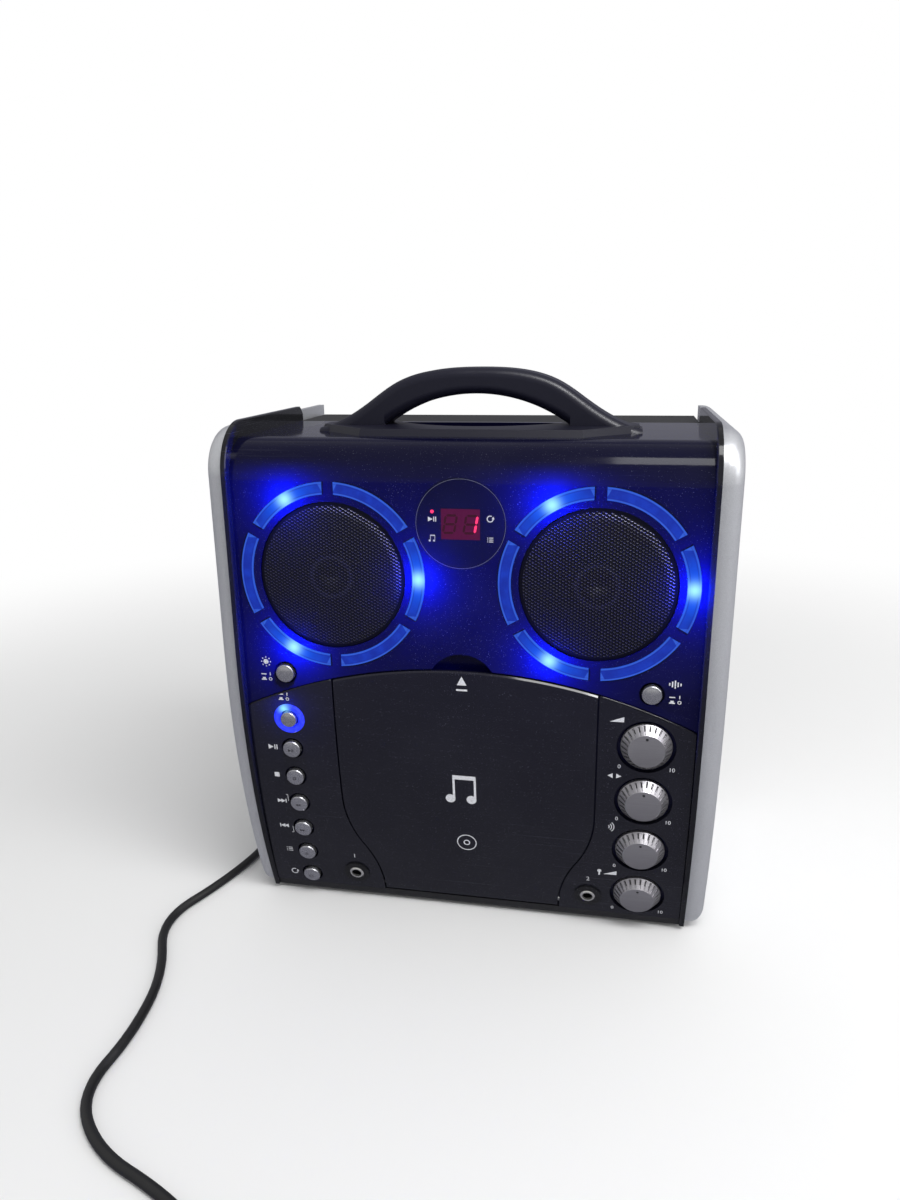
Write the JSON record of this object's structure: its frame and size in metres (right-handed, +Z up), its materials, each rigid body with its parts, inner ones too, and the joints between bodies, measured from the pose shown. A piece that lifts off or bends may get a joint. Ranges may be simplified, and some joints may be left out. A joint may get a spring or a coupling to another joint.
{
  "type": "karaoke machine",
  "caption": "Portable karaoke machine with a drop-down disc door, two ringed speakers, button and knob columns, microphone jacks and a carry handle.",
  "frame": {"origin": "centre of the body's footprint on the surface that it stands on, with the cord left out", "axes": "+X to the right as seen from the front, +Y to the rear, +Z up; the speakers and the door face -Y"},
  "size_m": [0.3386, 0.6371, 0.3433],
  "materials": {
    "gloss_black": "high-gloss moulded plastic, finely scratched",
    "satin_black": "fine satin texture",
    "silver_paint": "silver-painted plastic",
    "grille_black": "perforated sheet, painted black",
    "blue_light": "translucent blue light guide",
    "smoked_window": "dark red display window",
    "silver_button": "silver-painted, satin",
    "chrome": "polished",
    "steel": "plain zinc-plated steel",
    "rubber": "soft rubber",
    "board_green": "solder-masked board",
    "motor_steel": "drawn steel can",
    "grey_plastic": "moulded",
    "cone_paper": "pressed paper cone",
    "cord_black": "flexible vinyl",
    "socket_red": "moulded"
  },
  "bodies": {
    "cabinet": {"front_housing": "gloss_black", "rear_cabinet": "satin_black", "base_plate": "satin_black", "feet": "rubber", "side_rim_left": "gloss_black", "side_rim_right": "gloss_black", "side_panel_left": "silver_paint", "side_panel_right": "silver_paint", "carry_handle": "satin_black", "control_panel_left": "gloss_black", "control_panel_right": "gloss_black", "door_catch": "grey_plastic", "disc_well": "satin_black", "mech_chassis": "steel", "sled_rods": "steel", "sled_motor": "motor_steel", "spindle_motor": "motor_steel", "grille_left": "grille_black", "grille_right": "grille_black", "light_ring_left": "blue_light", "light_ring_right": "blue_light", "led_boards": "board_green", "speaker_baskets": "motor_steel", "speaker_cones": "cone_paper", "display_lens": "smoked_window", "display_module": "board_green", "power_ring": "blue_light", "latch_switches": "grey_plastic", "switch_board": "board_green", "potentiometers": "motor_steel", "mic_jacks": "satin_black", "jack_collars": "chrome", "main_board": "board_green", "transformer": "motor_steel", "rca_sockets": "socket_red", "speaker_screws": "steel", "case_screws": "steel", "strain_relief": "cord_black", "mains_cord": "cord_black", "cord_coil": "cord_black", "mains_plug": "cord_black"},
    "disc_door": {"disc_door": "gloss_black", "hinge_pins": "steel"},
    "turntable": {"turntable": "grey_plastic", "spindle_shaft": "steel"},
    "pickup_sled": {"pickup_sled": "grey_plastic"},
    "sled_pinion": {"sled_pinion": "grey_plastic"},
    "button_disco_light": {"button_disco_light": "silver_button"},
    "button_voice_control": {"button_voice_control": "silver_button"},
    "button_power": {"button_power": "silver_button"},
    "button_play": {"button_play": "silver_button"},
    "button_stop": {"button_stop": "silver_button"},
    "button_skip_back": {"button_skip_back": "silver_button"},
    "button_skip_forward": {"button_skip_forward": "silver_button"},
    "button_program": {"button_program": "silver_button"},
    "button_repeat": {"button_repeat": "silver_button"},
    "knob_master_volume": {"knob_master_volume": "silver_button"},
    "knob_balance": {"knob_balance": "silver_button"},
    "knob_echo": {"knob_echo": "silver_button"},
    "knob_microphone_volume": {"knob_microphone_volume": "silver_button"}
  },
  "joints": [
    {"name": "disc_door", "type": "hinge", "parent": "cabinet", "child": "disc_door", "pos_m": [0, -0.0618, 0.01402], "axis": [1, 0, 0], "range_deg": [0, 70]},
    {"name": "turntable", "type": "hinge", "parent": "cabinet", "child": "turntable", "pos_m": [0, -0.08178, 0.093], "axis": [0, -0.9878, -0.1559], "continuous": true},
    {"name": "pickup_sled", "type": "slide", "parent": "cabinet", "child": "pickup_sled", "axis": [1, 0, 0], "range_m": [0, 0.03]},
    {"name": "sled_pinion", "type": "hinge", "parent": "cabinet", "child": "sled_pinion", "pos_m": [0.046, -0.08721, 0.12737], "axis": [0, -0.9878, -0.1559], "range_deg": [0, 245.55]},
    {"name": "button_disco_light", "type": "slide", "parent": "cabinet", "child": "button_disco_light", "axis": [0, 0.9997, 0.0264], "range_m": [0, 0.0012]},
    {"name": "button_voice_control", "type": "slide", "parent": "cabinet", "child": "button_voice_control", "axis": [0, 0.9997, 0.0264], "range_m": [0, 0.0012]},
    {"name": "button_power", "type": "slide", "parent": "cabinet", "child": "button_power", "axis": [0, 0.997, 0.0771], "range_m": [0, 0.0012]},
    {"name": "button_play", "type": "slide", "parent": "cabinet", "child": "button_play", "axis": [0, 0.9937, 0.112], "range_m": [0, 0.0012], "stiffness_N_per_m": 900, "springref_m": -0.0006},
    {"name": "button_stop", "type": "slide", "parent": "cabinet", "child": "button_stop", "axis": [0, 0.9892, 0.1463], "range_m": [0, 0.0012], "stiffness_N_per_m": 900, "springref_m": -0.0006},
    {"name": "button_skip_back", "type": "slide", "parent": "cabinet", "child": "button_skip_back", "axis": [0, 0.9836, 0.1805], "range_m": [0, 0.0012], "stiffness_N_per_m": 900, "springref_m": -0.0006},
    {"name": "button_skip_forward", "type": "slide", "parent": "cabinet", "child": "button_skip_forward", "axis": [0, 0.9767, 0.2147], "range_m": [0, 0.0012], "stiffness_N_per_m": 900, "springref_m": -0.0006},
    {"name": "button_program", "type": "slide", "parent": "cabinet", "child": "button_program", "axis": [0, 0.9685, 0.249], "range_m": [0, 0.0012], "stiffness_N_per_m": 900, "springref_m": -0.0006},
    {"name": "button_repeat", "type": "slide", "parent": "cabinet", "child": "button_repeat", "axis": [0, 0.9591, 0.2832], "range_m": [0, 0.0012], "stiffness_N_per_m": 900, "springref_m": -0.0006},
    {"name": "knob_master_volume", "type": "hinge", "parent": "cabinet", "child": "knob_master_volume", "pos_m": [0.1054, -0.08702, 0.1367], "axis": [0, -0.9966, -0.0819], "range_deg": [-140, 140]},
    {"name": "knob_balance", "type": "hinge", "parent": "cabinet", "child": "knob_balance", "pos_m": [0.1054, -0.08289, 0.1003], "axis": [0, -0.9896, -0.1436], "range_deg": [-140, 140]},
    {"name": "knob_echo", "type": "hinge", "parent": "cabinet", "child": "knob_echo", "pos_m": [0.1054, -0.07644, 0.0639], "axis": [0, -0.9787, -0.2053], "range_deg": [-140, 140]},
    {"name": "knob_microphone_volume", "type": "hinge", "parent": "cabinet", "child": "knob_microphone_volume", "pos_m": [0.1054, -0.06759, 0.0275], "axis": [0, -0.9637, -0.2669], "range_deg": [-140, 140]}
  ],
  "couplings": [
    {"joint": "sled_pinion", "follows": "pickup_sled", "rad_per_m": 142.86}
  ]
}
